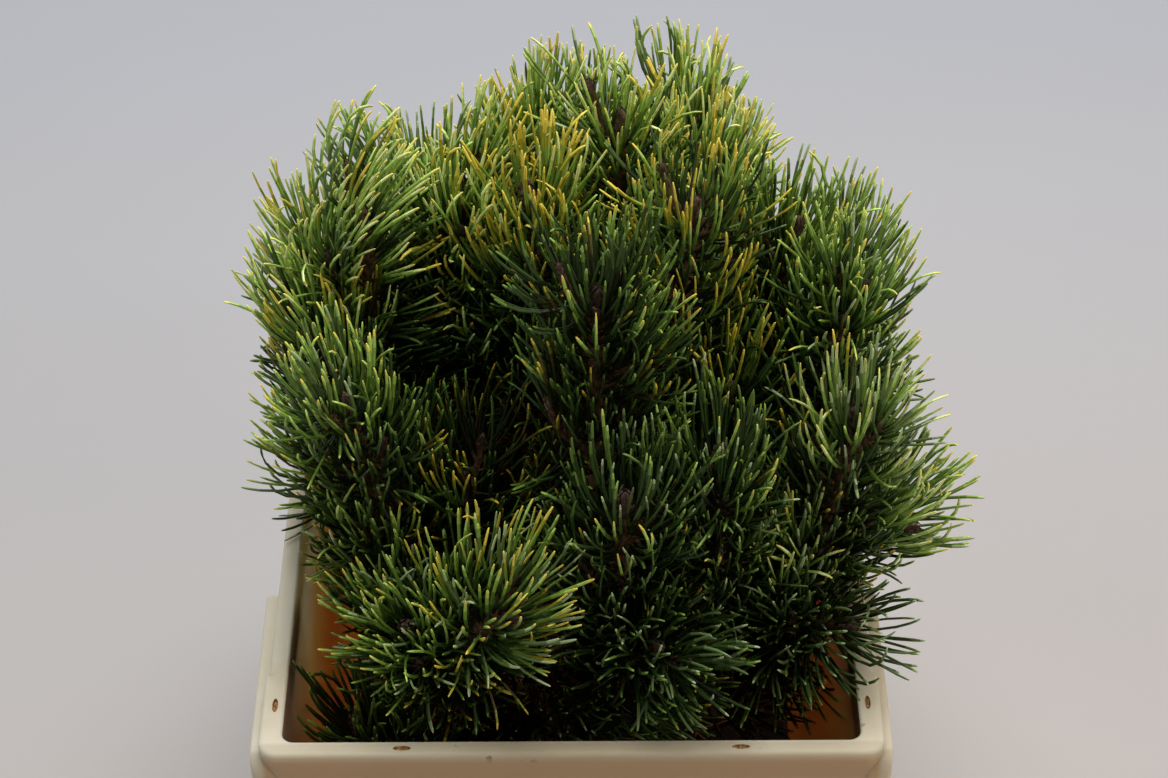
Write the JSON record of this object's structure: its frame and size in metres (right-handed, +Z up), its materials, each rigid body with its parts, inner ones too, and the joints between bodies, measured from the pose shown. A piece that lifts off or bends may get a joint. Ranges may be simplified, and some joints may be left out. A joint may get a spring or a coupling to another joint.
{
  "type": "potted mugo pine",
  "caption": "Bushy mountain pine with many upright needle-covered shoots, growing in a tall rectangular plastic tub with a flat rim.",
  "frame": {"origin": "centre of the tub's flat underside", "axes": "+Z up; the tub's short front faces -Y, +X to the right seen from the front"},
  "size_m": [0.3474, 0.3862, 0.5056],
  "materials": {
    "tub": "cream moulded plastic, satin, worn and stained",
    "soil": "dark moist potting compost",
    "bark": "dark brown scaly bark",
    "needles": "green needles with yellow tips",
    "buds": "reddish brown resinous bud scales"
  },
  "bodies": {
    "root": {"tub": "tub", "soil": "soil", "trunk": "bark", "bough_left_top": "bark", "bough_left_front": "bark", "bough_front": "bark", "bough_right_front": "bark", "bough_right_back": "bark", "bough_top": "bark", "bough_back_left": "bark", "bough_back_right": "bark", "bough_middle": "bark", "bough_left_middle": "bark", "bough_left_out": "bark", "bough_left_back": "bark", "bough_front_left": "bark", "bough_inner_left": "bark", "bough_front_low": "bark", "bough_middle_front": "bark", "bough_middle_right": "bark", "bough_gold_left": "bark", "bough_gold_right": "bark", "bough_right_middle": "bark", "bough_right_out": "bark", "bough_right_low": "bark", "bough_top_right": "bark", "bough_top_left": "bark", "bough_right_far": "bark", "bough_back": "bark", "bough_back_low_left": "bark", "bough_back_low_right": "bark", "needles_left_top": "needles", "needles_left_front": "needles", "needles_front": "needles", "needles_right_front": "needles", "needles_right_back": "needles", "needles_top": "needles", "needles_back_left": "needles", "needles_back_right": "needles", "needles_middle": "needles", "needles_left_middle": "needles", "needles_left_out": "needles", "needles_left_back": "needles", "needles_front_left": "needles", "needles_inner_left": "needles", "needles_front_low": "needles", "needles_middle_front": "needles", "needles_middle_right": "needles", "needles_gold_left": "needles", "needles_gold_right": "needles", "needles_right_middle": "needles", "needles_right_out": "needles", "needles_right_low": "needles", "needles_top_right": "needles", "needles_top_left": "needles", "needles_right_far": "needles", "needles_back": "needles", "needles_back_low_left": "needles", "needles_back_low_right": "needles", "needles_front_base": "needles"}
  },
  "joints": []
}
